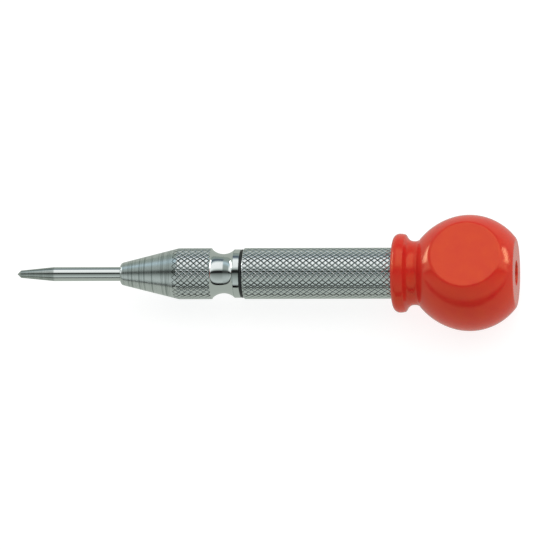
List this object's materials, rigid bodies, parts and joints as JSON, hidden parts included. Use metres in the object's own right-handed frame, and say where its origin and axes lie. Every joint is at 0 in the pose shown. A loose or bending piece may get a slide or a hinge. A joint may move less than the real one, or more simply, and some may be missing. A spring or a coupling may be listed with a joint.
{
  "type": "automatic center punch",
  "caption": "Spring-loaded automatic center punch: hardened point, knurled steel nose and barrel, and a plastic ball cap with flats that also sets the blow.",
  "frame": {"origin": "centre of the overall box in X and Y, at the height of the ball cap's lower flat", "axes": "+X along the tool's axis from the point to the ball cap, +Z out of the ball's upper flat, +Y to the side"},
  "size_m": [0.1432, 0.033, 0.0264],
  "materials": {
    "ground_steel": "hardened tool steel, ground taper and polished shank",
    "plated_steel": "nickel-plated turned and knurled steel",
    "turned_steel": "turned and oiled steel",
    "spring_steel": "drawn spring wire",
    "black_rubber": "moulded nitrile rubber",
    "red_plastic": "injection-moulded red plastic, glossy"
  },
  "bodies": {
    "housing": {"nose": "plated_steel", "joint_ring": "black_rubber", "barrel": "plated_steel"},
    "spindle": {"punch_point": "ground_steel", "spindle": "turned_steel", "return_spring": "spring_steel"},
    "hammer": {"hammer": "turned_steel", "sear_spring": "spring_steel"},
    "sear": {"sear": "turned_steel"},
    "spring_seat": {"spring_seat": "turned_steel", "main_spring": "spring_steel"},
    "cap": {"adjusting_screw": "turned_steel", "ball_cap": "red_plastic"}
  },
  "joints": [
    {"name": "punch_stroke", "type": "slide", "parent": "housing", "child": "spindle", "axis": [1, 0, 0], "range_m": [0, 0.009], "stiffness_N_per_m": 3000, "springref_m": -0.003},
    {"name": "hammer_slide", "type": "slide", "parent": "housing", "child": "hammer", "axis": [1, 0, 0], "range_m": [0, 0.009], "deforming": ["main_spring"]},
    {"name": "sear_slide", "type": "slide", "parent": "hammer", "child": "sear", "axis": [0, 0, -1], "range_m": [0, 0.0011], "deforming": ["sear_spring"]},
    {"name": "seat_travel", "type": "slide", "parent": "housing", "child": "spring_seat", "axis": [1, 0, 0], "range_m": [-0.003, 0.003]},
    {"name": "cap_turn", "type": "hinge", "parent": "spring_seat", "child": "cap", "pos_m": [0.05817, 0, 0.0132], "axis": [1, 0, 0], "range_deg": [-1080, 1080]}
  ],
  "couplings": [
    {"joint": "hammer_slide", "follows": "punch_stroke", "ratio": 1},
    {"joint": "sear_slide", "follows": "punch_stroke", "ratio": 0.12222},
    {"joint": "seat_travel", "follows": "cap_turn", "m_per_rad": 0.00015915}
  ]
}
